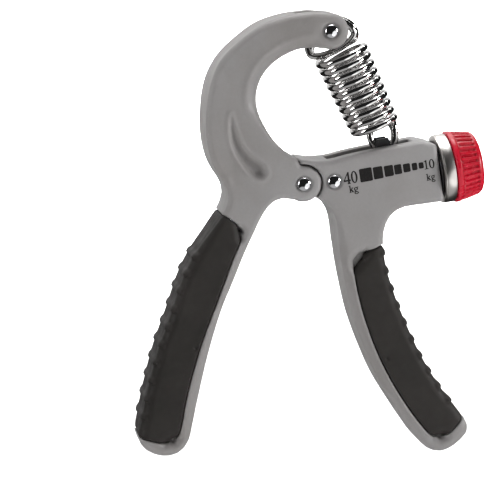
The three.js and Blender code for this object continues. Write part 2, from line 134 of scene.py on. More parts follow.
def noise(tree, scale, detail=3.0, rough=0.5, stretch=(1, 1, 1)):
    """Noise over the object's own coordinates. Scale is in cycles a metre."""
    place = tree.nodes.new("ShaderNodeTexCoord")
    mapping = tree.nodes.new("ShaderNodeMapping")
    mapping.inputs["Scale"].default_value = stretch
    link(tree, place.outputs["Object"], mapping.inputs["Vector"])
    made = tree.nodes.new("ShaderNodeTexNoise")
    made.inputs["Scale"].default_value = scale
    made.inputs["Detail"].default_value = detail
    made.inputs["Roughness"].default_value = rough
    link(tree, mapping.outputs["Vector"], made.inputs["Vector"])
    return made.outputs["Fac"]


def ramp(tree, source, stops):
    """Colours or greys along a 0 to 1 value."""
    made = tree.nodes.new("ShaderNodeValToRGB")
    elements = made.color_ramp.elements
    while len(elements) < len(stops):
        elements.new(0.5)
    for element, (place, colour) in zip(elements, stops):
        element.position = place
        element.color = (*colour, 1) if isinstance(colour, tuple) else (colour,) * 3 + (1,)
    link(tree, source, made.inputs["Fac"])
    return made.outputs["Color"]


def mixed(tree, factor, a, b, how="MIX"):
    made = tree.nodes.new("ShaderNodeMix")
    made.data_type = "RGBA"
    made.blend_type = how
    for socket, value in ((made.inputs["Factor"], factor), (made.inputs["A"], a), (made.inputs["B"], b)):
        if hasattr(value, "links"):
            link(tree, value, socket)
        elif isinstance(value, tuple):
            socket.default_value = (*value, 1)
        else:
            socket.default_value = value
    return made.outputs["Result"]


def bump(tree, shader, heights):
    """Adds several heights, each with its strength and depth in metres, one after another."""
    normal = None
    for height, strength, depth in heights:
        made = tree.nodes.new("ShaderNodeBump")
        made.inputs["Strength"].default_value = strength
        made.inputs["Distance"].default_value = depth
        link(tree, height, made.inputs["Height"])
        if normal is not None:
            link(tree, normal, made.inputs["Normal"])
        normal = made.outputs["Normal"]
    link(tree, normal, shader.inputs["Normal"])


def painted_light_by_pointiness(tree, low, high):
    """Painted light from the mesh's pointiness: its high end lightens outward edges as a painted highlight, its
    low end marks grooves for painted shade.
    """
    place = tree.nodes.new("ShaderNodeNewGeometry")
    return ramp(tree, place.outputs["Pointiness"], [(low, 0.0), (high, 1.0)])


def grey_plastic():
    made, tree, shader = new_material("grey_plastic", 0.46)
    shader.inputs["Specular IOR Level"].default_value = 0.45
    cloud = noise(tree, 26, 3, 0.55)
    speck = noise(tree, 900, 2, 0.5)
    flow = noise(tree, 70, 4, 0.6, (1, 1, 0.35))
    base = ramp(tree, cloud, [(0.3, (0.256, 0.242, 0.234)), (0.7, (0.308, 0.300, 0.300))])
    toned = mixed(tree, 0.22, base, ramp(tree, flow, [(0.35, 0.20), (0.7, 0.40)]), "OVERLAY")
    specked = mixed(tree, 0.10, toned, ramp(tree, speck, [(0.3, 0.22), (0.7, 0.42)]), "OVERLAY")
    # painted highlight: a lighter grey along the outward edges, found from pointiness
    edge_highlighted = mixed(tree, painted_light_by_pointiness(tree, 0.62, 0.82), specked, (0.38, 0.375, 0.375))
    link(tree, edge_highlighted, shader.inputs["Base Color"])
    link(tree, ramp(tree, noise(tree, 120, 4), [(0.3, 0.40), (0.7, 0.54)]), shader.inputs["Roughness"])
    bump(tree, shader, [(speck, 0.22, 0.00006), (noise(tree, 2600, 2), 0.20, 0.00003)])
    return made


def black_rubber():
    made, tree, shader = new_material("black_rubber", 0.62)
    shader.inputs["Specular IOR Level"].default_value = 0.28
    cloud = noise(tree, 40, 4, 0.6)
    grain = noise(tree, 1500, 3, 0.6)
    base = ramp(tree, cloud, [(0.3, (0.018, 0.016, 0.014)), (0.7, (0.028, 0.024, 0.022))])
    dusty = mixed(tree, ramp(tree, noise(tree, 210, 5), [(0.55, 0.0), (0.85, 0.14)]), base, (0.060, 0.056, 0.053))
    # painted highlight: lighter rubber along the outward edges and rib crests, found from pointiness
    edge_highlighted = mixed(tree, painted_light_by_pointiness(tree, 0.62, 0.80), dusty, (0.105, 0.100, 0.098))
    link(tree, edge_highlighted, shader.inputs["Base Color"])
    link(tree, ramp(tree, noise(tree, 260, 4), [(0.3, 0.52), (0.7, 0.70)]), shader.inputs["Roughness"])
    bump(tree, shader, [(grain, 0.30, 0.00006), (cloud, 0.05, 0.0001)])
    return made


def plated(name, colour, low, high, grain=320, streak=(1, 1, 1)):
    """Plated or plain metal: fine scratches and slight haze over a bright surface."""
    made, tree, shader = new_material(name, low, 1.0)
    haze = noise(tree, grain, 4, 0.6)
    scratch = noise(tree, 900, 2, 0.5, streak)
    dim = tuple(c * 0.88 for c in colour)
    link(tree, ramp(tree, haze, [(0.3, dim), (0.7, colour)]), shader.inputs["Base Color"])
    link(tree, ramp(tree, haze, [(0.35, low), (0.75, high)]), shader.inputs["Roughness"])
    bump(tree, shader, [(scratch, 0.02, 0.000006)])
    return made


def red_plastic():
    made, tree, shader = new_material("red_plastic", 0.27)
    shader.inputs["Specular IOR Level"].default_value = 0.4
    cloud = noise(tree, 90, 4, 0.6)
    base = ramp(tree, cloud, [(0.3, (0.42, 0.001, 0.013)), (0.7, (0.52, 0.002, 0.021))])
    # painted shade: a dark red in the grooves between the ribs, where pointiness is low
    groove_shaded = mixed(tree, painted_light_by_pointiness(tree, 0.38, 0.485), (0.20, 0.0, 0.006), base)
    # painted highlight: a light pink red along the rib crests and outward edges, where pointiness is high
    edge_highlighted = mixed(tree, painted_light_by_pointiness(tree, 0.53, 0.62), groove_shaded, (0.78, 0.05, 0.10))
    link(tree, edge_highlighted, shader.inputs["Base Color"])
    link(tree, ramp(tree, noise(tree, 400, 3), [(0.3, 0.22), (0.7, 0.33)]), shader.inputs["Roughness"])
    bump(tree, shader, [(noise(tree, 1300, 2), 0.08, 0.00003), (cloud, 0.05, 0.0001)])
    return made


def plain_plastic(name, dark, light, low, high):
    """A small moulded inner piece: faint mottling, fine grain and uneven gloss."""
    made, tree, shader = new_material(name, low)
    cloud = noise(tree, 300, 4, 0.6)
    link(tree, ramp(tree, cloud, [(0.3, dark), (0.7, light)]), shader.inputs["Base Color"])
    link(tree, ramp(tree, cloud, [(0.3, low), (0.7, high)]), shader.inputs["Roughness"])
    bump(tree, shader, [(noise(tree, 1800, 2), 0.2, 0.00004)])
    return made


def scale_ink():
    """Pad-printed ink: slightly broken, duller than the plastic under it."""
    made, tree, shader = new_material("scale_ink", 0.6)
    shader.inputs["Specular IOR Level"].default_value = 0.2
    cover = noise(tree, 1600, 3, 0.6)
    colours = [(0.3, (0.006, 0.005, 0.005)), (0.75, (0.016, 0.014, 0.014))]
    link(tree, ramp(tree, cover, colours), shader.inputs["Base Color"])
    bump(tree, shader, [(cover, 0.3, 0.00002)])
    return made


materials = {
    "grey_plastic": grey_plastic(),
    "black_rubber": black_rubber(),
    "chrome": plated("chrome", (0.86, 0.86, 0.88), 0.05, 0.09),
    "spring_wire": plated("spring_wire", (0.80, 0.79, 0.78), 0.06, 0.11),
    "collar_chrome": plated("collar_chrome", (0.77, 0.74, 0.71), 0.27, 0.31, 60, (1, 1, 8)),
    "steel": plated("steel", (0.60, 0.60, 0.61), 0.25, 0.40),
    "brass": plated("brass", (0.69, 0.52, 0.26), 0.25, 0.40),
    "black_nylon": plain_plastic("black_nylon", (0.008, 0.008, 0.008), (0.020, 0.020, 0.021), 0.40, 0.56),
    "acetal": plain_plastic("acetal", (0.70, 0.69, 0.64), (0.80, 0.79, 0.75), 0.35, 0.5),
    "red_plastic": red_plastic(),
    "red_cap": plain_plastic("red_cap", (0.42, 0.001, 0.013), (0.52, 0.002, 0.021), 0.22, 0.33),
    "scale_ink": scale_ink(),
}

# ---------------------------------------------------------------- meshes


def piece(name, vertices, faces, material, slot, smooth_angle=40):
    """A mesh object from points in millimetres."""
    mesh = bpy.data.meshes.new(name)
    mesh.from_pydata([tuple(v) for v in np.asarray(vertices, float) * MM], [], [tuple(f) for f in faces])
    mesh.validate()
    shape = bmesh.new()
    shape.from_mesh(mesh)
    bmesh.ops.recalc_face_normals(shape, faces=shape.faces)
    shape.to_mesh(mesh)
    shape.free()
    mesh.shade_smooth()
    mesh.set_sharp_from_angle(angle=math.radians(smooth_angle))
    made = bpy.data.objects.new(name, mesh)
    bpy.context.scene.collection.objects.link(made)
    mesh.materials.append(materials[material])
    return made


# ---------------------------------------------------------------- outlines and fields


def section(node, y):
    """The short straight edges where a CAD node's surface crosses the plane y, as x and z."""
    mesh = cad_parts[node].data
    mesh.calc_loop_triangles()
    points = np.array([v.co for v in mesh.vertices], float) / MM
    corners = points[np.array([t.vertices for t in mesh.loop_triangles])]
    side = corners[:, :, 1] - y - 1e-5
    crossing = corners[(side.min(1) < 0) & (side.max(1) > 0)]
    edges = []
    for triangle in crossing:
        ends = []
        for i in range(3):
            a, b = triangle[i], triangle[(i + 1) % 3]
            if (a[1] - y - 1e-5) * (b[1] - y - 1e-5) < 0:
                share = (y + 1e-5 - a[1]) / (b[1] - a[1])
                ends.append((a + (b - a) * share)[[0, 2]])
        edges.append(ends)
    return np.array(edges)


def away(x, z, edges):
    """Distance of each grid point from the nearest edge."""
    nearest = np.full(x.shape, 1e9)
    for a, b in edges:
        d = b - a
        length = max(float(d @ d), 1e-12)
        t = np.clip(((x - a[0]) * d[0] + (z - a[1]) * d[1]) / length, 0, 1)
        gap = (x - a[0] - t * d[0]) ** 2 + (z - a[1] - t * d[1]) ** 2
        nearest = np.minimum(nearest, gap)
    return np.sqrt(nearest)


def inside(x, z, edges):
    """Whether each grid point is within the outline: what most of three rays say, as one may pass a gap."""
    right, left, up = (np.zeros(x.shape, int) for _ in range(3))
    for a, b in edges:
        if a[1] != b[1]:
            between = (z >= min(a[1], b[1])) & (z < max(a[1], b[1]))
            at = a[0] + (z - a[1]) * (b[0] - a[0]) / (b[1] - a[1])
            right += between & (x < at)
            left += between & (x >= at)
        if a[0] != b[0]:
            between = (x >= min(a[0], b[0])) & (x < max(a[0], b[0]))
            at = a[1] + (x - a[0]) * (b[1] - a[1]) / (b[0] - a[0])
            up += between & (z < at)
    return right % 2 + left % 2 + up % 2 >= 2


def signed(x, z, edges):
    return np.where(inside(x, z, edges), -1, 1) * away(x, z, edges)


def softened(field, reach):
    """The field, averaged over a small square, which rounds the outline's corners."""
    weights = np.exp(-0.5 * (np.arange(-3, 4) * VOXEL / reach) ** 2)
    weights /= weights.sum()
    for axis in (0, 1):
        padded = np.pad(field, [(3, 3) if i == axis else (0, 0) for i in (0, 1)], mode="edge")
        parts = [np.take(padded, range(i, i + field.shape[axis]), axis) * w for i, w in enumerate(weights)]
        field = sum(parts)
    return field


def smax(a, b, soft):
    """The larger of two fields, rounded where they are close."""
    h = np.maximum(soft - np.abs(a - b), 0) / soft
    return np.maximum(a, b) + h * h * soft / 4


def smin(a, b, soft):
    return -smax(-a, -b, soft)


def step(value, low, high):
    t = np.clip((value - low) / (high - low), 0, 1)
    return t * t * (3 - 2 * t)


def rounded(flat, tall, radius):
    """The solid between an outline and a pair of faces, with its edges rounded."""
    a, b = flat + radius, tall + radius
    return np.minimum(np.maximum(a, b), 0) + np.hypot(np.maximum(a, 0), np.maximum(b, 0)) - radius


class Block:
    """A grid over a stretch of the XZ plane and the whole thickness."""

    def __init__(self, low, high):
        pad = 3 * VOXEL + GRIP_RIBS["rise"]
        self.low = np.array([low[0] - pad, -HALF_DEPTH - pad, low[1] - pad])
        counts = np.ceil((np.array([high[0] + pad, HALF_DEPTH + pad, high[1] + pad]) - self.low) / VOXEL)
        axes = [self.low[i] + VOXEL * np.arange(int(counts[i]) + 1) for i in range(3)]
        self.x, self.z = np.meshgrid(axes[0], axes[2], indexing="ij")
        self.y = axes[1]

    def deep(self, flat):
        return flat[:, None, :]

    @property
    def depth(self):
        return self.y[None, :, None]

    def hull(self, centre, radius):
        """Distance from a round column along Y."""
        return self.deep(np.hypot(self.x - centre[0], self.z - centre[1]) - radius)

    def arm_frame(self):
        dx, dz = self.x - arm_origin[0], self.z - arm_origin[1]
        return dx * arm_axis[0] + dz * arm_axis[1], dx * arm_up[0] + dz * arm_up[1]

    def mesh(self, name, field, material, slot):
        """The surface where the field is zero."""
        reach = 3 * VOXEL
        grid = openvdb.FloatGrid(reach)
        grid.copyFromArray(np.ascontiguousarray(np.clip(field, -reach, reach), np.float32))
        points, triangles, quads = grid.convertToPolygons(isovalue=0.0, adaptivity=0.0)
        faces = [tuple(q) for q in quads] + [tuple(t) for t in triangles]
        return piece(name, points * VOXEL + self.low, faces, material, slot, 60)


def head_seat(block, at):
    """The shallow seat round a rivet head, on both faces."""
    seat = smax(block.hull(at, RIVET["head"] + GAP), HALF_DEPTH - RIVET["seat"] - np.abs(block.depth), 0.2)
    return seat


def ribs(block, first, middle, last, body, outward):
    """Raised ribs across a grip's outer edge, evenly spaced round a wide arc through three points."""
    centre, radius = arc_through(first, middle, last)
    angle = np.arctan2(block.z - centre[1], block.x - centre[0])
    ends = [math.atan2(p[1] - centre[1], p[0] - centre[0]) for p in (first, last)]
    base = ends[0]
    turn = (ends[1] - base + math.pi) % (2 * math.pi) - math.pi
    along = ((angle - base + math.pi) % (2 * math.pi) - math.pi) * radius * np.sign(turn)
    length = abs(turn) * radius
    count = round(length / GRIP_RIBS["pitch"])
    pitch = length / count
    from_rib = (along + pitch / 2) % pitch - pitch / 2
    slope_foot, slope_top, step_top, step_foot = RIB_SIDE
    shape = step(from_rib, slope_foot, slope_top) * (1 - step(from_rib, step_top, step_foot))
    within = step(along, -pitch / 2, -pitch / 2 + 0.5) * (1 - step(along, length + 1.5, length + 2.5))
    near = np.hypot(block.x - centre[0], block.z - centre[1])
    outer = near > radius - GRIP_RIBS["reach"] if outward else near < radius + GRIP_RIBS["reach"]
    edge = step(body, -GRIP_RIBS["wrap"], -0.9)
    return GRIP_RIBS["rise"] * shape * within * edge * outer


def arc_through(a, b, c):
    (ax, az), (bx, bz), (cx, cz) = a, b, c
    d = 2 * (ax * (bz - cz) + bx * (cz - az) + cx * (az - bz))
    squares = [x * x + z * z for x, z in (a, b, c)]
    ux = (squares[0] * (bz - cz) + squares[1] * (cz - az) + squares[2] * (az - bz)) / d
    uz = (squares[0] * (cx - bx) + squares[1] * (ax - cx) + squares[2] * (bx - ax)) / d
    return (ux, uz), math.hypot(ax - ux, az - uz)


# Each grip's ribbed edge: its first, middle and last rib.
HOOK_RIBS = ((-39.2, -25.0), (-50.6, -54.0), (-57.9, -82.5))
ARM_RIBS = ((29.6, -25.5), (37.4, -50.0), (54.5, -80.2))


def outlines(block, lever, grip):
    """Signed distances of the whole lever, and of its rubber zone, over the grid."""
    lever_edges, grip_edges = section(lever, SECTION_Y), section(grip, SECTION_Y)
    lever_field = signed(block.x, block.z, lever_edges)
    grip_field = signed(block.x, block.z, grip_edges)
    touching = 2 * GAP
    middle = lambda edges: edges.mean(1)
    own = away(*middle(lever_edges).T, grip_edges) > touching
    other = away(*middle(grip_edges).T, lever_edges) > touching
    outer = np.concatenate([lever_edges[own], grip_edges[other]])
    seam = (np.abs(lever_field) < touching) & (np.abs(grip_field) < touching)
    solid = (lever_field < 0) | (grip_field < 0) | seam
    whole = np.where(solid, -1, 1) * away(block.x, block.z, outer)
    return softened(whole, 0.45), softened(grip_field, 0.9), lever_edges


def handle_core(block, lever):
    """The thinner part of the lever that runs on inside the rubber."""
    flat = signed(block.x, block.z, section(lever, 0.02))
    below = block.z + 17
    return smax(block.deep(np.maximum(flat, below)), np.abs(block.depth) - CORE_HALF, 0.4)


def dimple(block, at, radius=0.8, deep=0.6):
    spot = np.hypot(block.x - at[0], block.z - at[1])
    return deep * (1 - step(spot, 0, radius))


def node_box(*names):
    """Lowest and highest corner of some CAD nodes, as x and z."""
    low = np.min([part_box(n)[0] for n in names], axis=0) / MM
    high = np.max([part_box(n)[1] for n in names], axis=0) / MM
    return low[[0, 2]], high[[0, 2]]


# ---------------------------------------------------------------- hook lever


def scoop_drop(block):
    """How far the long scoop sinks each face: shallow at its pointed top, deeper at its round foot."""
    edges = section("hook_lever", -HALF_DEPTH + 0.7)
    middle = edges.mean(1)
    deep_in = (middle[:, 0] > -28) & (middle[:, 0] < -12.2) & (middle[:, 1] > 0.5) & (middle[:, 1] < 26.6)
    from_eye = np.hypot(middle[:, 0] - EYE_CENTRE[0], middle[:, 1] - EYE_CENTRE[1])
    scoop = softened(signed(block.x, block.z, edges[deep_in & (from_eye > EYE_REACH + 0.5)]), 0.45)
    share = np.clip((26 - block.z) / 23, 0, 1)
    depth = 0.75 + 1.45 * share
    wall = 0.9 + 0.9 * share
    ledge = 0.38 * step(scoop, -0.1, 0.35) * (1 - step(scoop, 0.7, 1.6))
    return depth * (1 - step(scoop, -wall, 0.05)) - ledge


def hook_side():
    block = Block(*node_box("hook_lever", "hook_grip"))
    whole, zone, edges = outlines(block, "hook_lever", "hook_grip")
    middle = edges.mean(1)
    facing = np.hypot(middle[:, 0] - EYE_CENTRE[0], middle[:, 1] - EYE_CENTRE[1]) < EYE_REACH
    eye = away(block.x, block.z, edges[facing])
    fade = step(block.x, 8.5, -2) * step(block.x + block.z, 3.5, 12)
    hooked = step(block.z, -4, 8)
    strip = 2.3 * np.clip(1 - eye / STRIP, 0, 1) ** 1.15 * fade
    crown = 1.15 * step(eye, STRIP + 1.5, STRIP + 14) * fade * hooked
    rim = 0.30 * (1 - step(-whole, 1.15, 1.45)) * step(eye, 5, 7) * hooked
    bead = 0.45 * np.exp(-((eye - STRIP - 0.9) / 1.1) ** 2) * fade
    drop = strip + crown + rim - bead + scoop_drop(block)
    half = HALF_DEPTH - softened(drop, 0.35)
    edge = block.deep(1.9 + 1.6 * step(-block.z, 10, 24))
    body = rounded(block.deep(whole), np.abs(block.depth) - block.deep(half), edge)
    grip = ribs(block, *HOOK_RIBS, whole, outward=True)

    clevis = smax(block.hull((0, 0), KNUCKLE["cheek"] + GAP), np.abs(block.depth) - KNUCKLE["cheek_inner"], 0.3)
    fork_flat = np.maximum(-2 - block.x, 40 - block.z)
    fork = smax(block.deep(fork_flat), np.abs(block.depth) - 3, 0.3)
    core = handle_core(block, "hook_lever")
    lever = smax(body, -block.deep(zone - GAP), 0.35)
    lever = np.minimum(lever, core)
    for hole in (clevis, fork, head_seat(block, (0, 0)), head_seat(block, TIP)):
        lever = smax(lever, -hole, 0.35)
    frame_piece = block.mesh("hook_body", lever, "grey_plastic", "grey_plastic")
    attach(frame_piece, "hook_side")
    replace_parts(frame_piece, "hook_lever")

    soft = smax(body - block.deep(grip), block.deep(zone - grip), 0.5)
    soft = smax(soft, -(core - GAP), 0.3) + block.deep(dimple(block, (-38.9, -58.0))) * (block.depth < 0)
    rubber = block.mesh("hook_rubber", soft, "black_rubber", "black_rubber")
    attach(rubber, "hook_side")
    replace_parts(rubber, "hook_grip")


# ---------------------------------------------------------------- arm lever


def arm_side():
    block = Block(*node_box("arm_lever", "arm_grip"))
    whole, zone, _ = outlines(block, "arm_lever", "arm_grip")
    u, w = block.arm_frame()
    edge = block.deep(1.8 + 1.6 * step(-block.z, 12, 26))
    body = rounded(block.deep(whole), np.abs(block.depth) - HALF_DEPTH, edge)

    disc = np.hypot(block.x, block.z)
    middle = signed(block.x, block.z, section("arm_lever", 0.02))
    tongue_flat = np.maximum(softened(middle, 0.3), disc - KNUCKLE["cheek"] - 2)
    tongue = smax(block.deep(tongue_flat), np.abs(block.depth) - KNUCKLE["tongue_half"], 0.3)
    recess = smax(block.deep(disc - KNUCKLE["cheek"] - GAP), KNUCKLE["tongue_half"] - np.abs(block.depth), 0.2)
    solid = smin(smax(body, -recess, 0.4), tongue, 0.2)

    cavity_flat = np.maximum(CAVITY["start"] - u, np.maximum(CAVITY["floor"] - w, w - CAVITY["roof"]))
    cavity = np.maximum(block.deep(cavity_flat), np.abs(block.depth) - CAVITY["half"])
    slot_flat = np.maximum(np.maximum(SLOT["start"] - u, u - SLOT["end"]), CAVITY["roof"] - 1 - w)
    slot = smax(block.deep(slot_flat), np.abs(block.depth) - SLOT["half"], 0.6)
    across = np.sqrt(block.deep(w) ** 2 + block.depth ** 2)
    mouth = np.maximum(across - MOUTH["radius"], block.deep(MOUTH["start"] - u))
    core = handle_core(block, "arm_lever")
    handle_zone = block.deep(zone - GAP)
    lever = smax(solid, -handle_zone, 0.35)
    lever = np.minimum(lever, core)
    for hole in (cavity, slot, mouth, head_seat(block, arm_point(*ANCHOR))):
        lever = smax(lever, -hole, 0.35)
    frame_piece = block.mesh("arm_body", lever, "grey_plastic", "grey_plastic")
    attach(frame_piece, "arm_side")
    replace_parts(frame_piece, "arm_lever")

    rise = ribs(block, *ARM_RIBS, whole, outward=False)
    soft = smax(body - block.deep(rise), block.deep(zone - rise), 0.5)
    soft = smax(soft, -(core - GAP), 0.3) + block.deep(dimple(block, (30.8, -64.1))) * (block.depth < 0)
    rubber = block.mesh("arm_rubber", soft, "black_rubber", "black_rubber")
    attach(rubber, "arm_side")
    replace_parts(rubber, "arm_grip")


# ---------------------------------------------------------------- turned pieces


def lathe(profile, sides, place, radius_at=None):
    """A turned surface. profile holds (along, radius); place turns (along, a, b) into the row frame."""
    rows = len(profile)
    angles = 2 * math.pi * np.arange(sides) / sides
    points = []
    for along, radius in profile:
        for angle in angles:
            r = radius if radius_at is None else radius_at(along, radius, angle)
            points.append(place(along, r * math.cos(angle), r * math.sin(angle)))
    faces = []
    for i in range(rows - 1):
        for j in range(sides):
            k = (j + 1) % sides
            faces.append((i * sides + j, i * sides + k, (i + 1) * sides + k, (i + 1) * sides + j))
    faces.append(tuple(range(sides)))
    faces.append(tuple((rows - 1) * sides + j for j in reversed(range(sides))))
    return points, faces


def on_arm(along, a, b):
    """A point of a piece turned about the lead screw."""
    x, z = arm_point(along, a)
    return (x, b, z)


def rivet(name, at, body):
    """A domed rivet head at the front and the same dome at the back, joined by its shank."""
    head, rise = RIVET["head"], RIVET["rise"]
    face = HALF_DEPTH - RIVET["seat"] + 0.1
    dome = []
    for i in range(13):
        angle = math.pi / 2 * i / 12
        dome.append((face + 0.25 + rise * math.sin(angle) * 1.25, head * math.cos(angle) + 1e-3))
    half = [(face - 0.2, 1.3), (face, 1.5), (face, head - 0.1), (face + 0.12, head), *dome]
    profile = [(-a, r) for a, r in reversed(half)] + half
    place = lambda along, a, b: (at[0] + a, along, at[1] + b)
    made = piece(name, *lathe(profile, 64, place), "chrome", "chrome", 35)
    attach(made, body)
    return made


def rivets():
    for name, at, body in (
        ("tip_rivet", TIP, "hook_side"),
        ("pivot_rivet", (0, 0), "hook_side"),
        ("anchor_rivet", tuple(arm_point(*ANCHOR)), "arm_side"),
    ):
        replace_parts(rivet(f"{name}_chrome", at, body), name, f"{name}_cap")


def collar_and_plug():
    start, end, radius = (COLLAR[k] for k in ("start", "end", "radius"))
    profile = [
        (start, 3), (start, radius - 0.5), (start + 0.1, radius - 0.2), (start + 0.3, radius - 0.08),
        (start + 0.5, radius - 0.25), (start + 0.65, radius - 0.25),
        (start + 0.8, radius - 0.05), (start + 1.0, radius),
        (end - 0.35, radius), (end - 0.1, radius - 0.12), (end, radius - 0.4), (end, 3),
    ]
    band = piece("collar_band", *lathe(profile, 128, on_arm), "collar_chrome", "chrome", 30)
    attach(band, "arm_side")
    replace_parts(band, "collar", "thrust_washer")
    start, end, radius = (PLUG[k] for k in ("start", "end", "radius"))
    ring = [(start - 8, 2.7), (start - 8, 7.3), (start, 7.3), (start, radius - 0.25),
            (start + 0.25, radius), (end - 0.25, radius), (end, radius - 0.25), (end, 2.7)]
    plug = piece("plug_ring", *lathe(ring, 96, on_arm), "black_nylon", "black_nylon", 30)
    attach(plug, "arm_side")
    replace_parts(plug, "end_plug")


def knob():
    """A cup with raised ribs between a smooth rim and a rounded outer edge, behind a low dome."""
    start, end, rim, face = (KNOB[k] for k in ("start", "end", "rim", "face"))
    wall = [(start, 4), (start, rim - 0.5), (start + 0.15, rim - 0.15), (start + 0.4, rim),
            (start + 1.5, rim), (start + 1.8, rim - 0.1), (start + 2.0, rim - 0.4)]
    stations = 26
    foot, crest = start + 2.15, end - 2.9
    for i in range(stations + 1):
        t = i / stations
        wall.append((foot + (crest - foot) * t, rim - 0.3 - (rim - face - 0.3) * t ** 1.4))
    for i in range(1, 15):
        angle = math.pi / 2 * i / 14
        wall.append((crest + (end - crest - 0.3) * math.sin(angle), face - 2.7 * (1 - math.cos(angle))))
    wall += [(end - 0.32, CAP_RADIUS + 0.15), (end - 0.65, CAP_RADIUS + 0.05), (end - 0.65, CAP_RADIUS - 0.3)]
    dome = [(end - 0.64, CAP_RADIUS - 0.1), (end - 0.30, CAP_RADIUS - 0.2), (end - 0.18, CAP_RADIUS - 0.45)]
    dome += [(end - 0.18 * (r / CAP_RADIUS) ** 2, r) for r in (7.6, 6.6, 5.4, 4.2, 3.0, 1.8, 0.8)]

    def with_ribs(along, radius, angle):
        run = step(np.array(along), foot, foot + 0.45) * (1 - step(np.array(along), crest - 0.2, crest + 0.7))
        groove = step(np.array(-math.cos(KNOB["ribs"] * angle)), -0.35, 0.7)
        return radius - 0.72 * float(run) * float(groove)

    cup = piece("knob_cup", *lathe(wall, KNOB["ribs"] * 12, on_arm, with_ribs), "red_plastic", "red_plastic", 50)
    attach(cup, "adjuster")
    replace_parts(cup, "knob", "knob_nut")
    cap = piece("knob_dome", *lathe(dome, 96, on_arm), "red_cap", "red_plastic", 50)
    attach(cap, "adjuster")
    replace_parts(cap, "knob_cap")


def lead_screw():
    """The screw's thread, cut as a rounded helix into its length inside the arm."""
    lead, sides, per_turn = 1.5, 40, 8
    low, high = 14.9, 58.0
    count = int((high - low) / lead * per_turn)
    profile = [(9.9, 0.3), (9.9, 1.3), (14.8, 1.3), (14.8, 2.0)]
    profile += [(low + (high - low) * i / count, 2.12) for i in range(count + 1)]
    profile += [(63.1, 2.12), (63.1, 0.3)]

    def thread(along, radius, angle):
        if radius < 2.1:
            return radius
        return radius + 0.17 * math.cos(2 * math.pi * along / lead - angle)

    made = piece("screw_thread", *lathe(profile, sides, on_arm, thread), "steel", "steel", 60)
    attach(made, "adjuster")
    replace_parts(made, "lead_screw")


# ---------------------------------------------------------------- spring

nut_bar = arm_point(NUT_U, NUT_BAR_W)
spring_line = nut_bar - np.array(TIP)
spring_length = float(np.hypot(*spring_line))
spring_axis = spring_line / spring_length
spring_side = np.array([-spring_axis[1], spring_axis[0]])


def on_spring(along, side, across):
    x, z = np.array(TIP) + along * spring_axis + side * spring_side
    return np.array([x, across, z])


def sweep(path, radius, sides=14):
    """A round wire along a path, without twist, closed and rounded at both ends."""
    path = np.array(path)
    ahead = np.gradient(path, axis=0)
    ahead /= np.linalg.norm(ahead, axis=1)[:, None]
    up = np.cross(ahead[0], [0.3, 0.2, 0.9])
    points, sizes = [], np.full(len(path), radius)
    sizes[[0, -1]] = radius * 0.45
    sizes[[1, -2]] = radius * 0.85
    for place, direction, size in zip(path, ahead, sizes):
        up = up - direction * (up @ direction)
        up /= np.linalg.norm(up)
        other = np.cross(direction, up)
        for j in range(sides):
            a = 2 * math.pi * j / sides
            points.append(place + size * (math.cos(a) * up + math.sin(a) * other))
    faces = []
    for i in range(len(path) - 1):
        for j in range(sides):
            k = (j + 1) % sides
            faces.append((i * sides + j, i * sides + k, (i + 1) * sides + k, (i + 1) * sides + j))
    faces.append(tuple(range(sides)))
    faces.append(tuple((len(path) - 1) * sides + j for j in range(sides)))
    return points, faces


def bezier(a, a_way, b, b_way, count):
    """A curve that leaves a along a_way and reaches b along b_way."""
    line = []
    for i in range(1, count):
        t = i / count
        s = 1 - t
        line.append(s ** 3 * a + 3 * s * s * t * (a + a_way) + 3 * s * t * t * (b - b_way) + t ** 3 * b)
    return line


def spring():
    """One bent wire: a ring of one and a half turns, the coil, and the small ring on the nut's bar."""
    dense = 30

    def upper(turn):
        angle = 2 * math.pi * turn
        rise = math.sin(angle)
        reach = UPPER["over"] if rise > 0 else UPPER["under"]
        wide = UPPER["first"] + (UPPER["last"] - UPPER["first"]) * turn / 1.5
        across = UPPER["side_step"] * (1 - 2 * turn / 1.5)
        return on_spring(UPPER["centre"] - reach * rise, -wide * math.cos(angle), -across)

    def coil(turn):
        angle = 2 * math.pi * turn
        along = COIL["start"] + COIL["pitch"] * turn
        radius = COIL["top"] + (COIL["foot"] - COIL["top"]) * turn / COIL["turns"]
        lean = COIL["lean"] + (COIL["lean_foot"] - COIL["lean"]) * turn / COIL["turns"]
        return on_spring(along, lean + radius * math.cos(angle), radius * math.sin(angle))

    lower_centre = nut_bar + arm_up * (LOWER["height"] - NUT_BAR - WIRE - LOWER["play"])
    lower_centre = lower_centre + arm_axis * LOWER["shift"]

    def lower(turn):
        angle = 2 * math.pi * turn
        flat = (lower_centre + arm_axis * LOWER["radius"] * math.cos(angle)
                - arm_up * LOWER["height"] * math.sin(angle))
        across = LOWER["side_step"] * (turn / 1.15 - 0.5) * 1.6
        return np.array([flat[0], across, flat[1]])

    def ahead(function, turn, length):
        way = function(turn + 0.002) - function(turn - 0.002)
        return way / np.linalg.norm(way) * length

    ring = [upper(UPPER["end"] * i / (dense * 2)) for i in range(dense * 2 + 1)]
    turns = [coil(COIL["from"] + i / dense) for i in range(int(dense * (COIL["turns"] - COIL["from"])) + 1)]
    foot = [lower(-0.02 + 1.17 * i / dense) for i in range(dense + 1)]
    into_foot = bezier(turns[-1], ahead(coil, COIL["turns"], 5), foot[0], ahead(lower, -0.02, 5), 10)
    into_coil = bezier(ring[-1], ahead(upper, UPPER["end"], 2.5), turns[0], ahead(coil, COIL["from"], 2.5), 8)
    path = ring + into_coil + turns + into_foot + foot
    made = piece("spring_wire", *sweep(path, WIRE), "spring_wire", "spring_wire", 60)
    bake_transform(made)
    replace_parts(made, "spring_ring", "spring_coil", "spring_hook")


# ---------------------------------------------------------------- printed scale


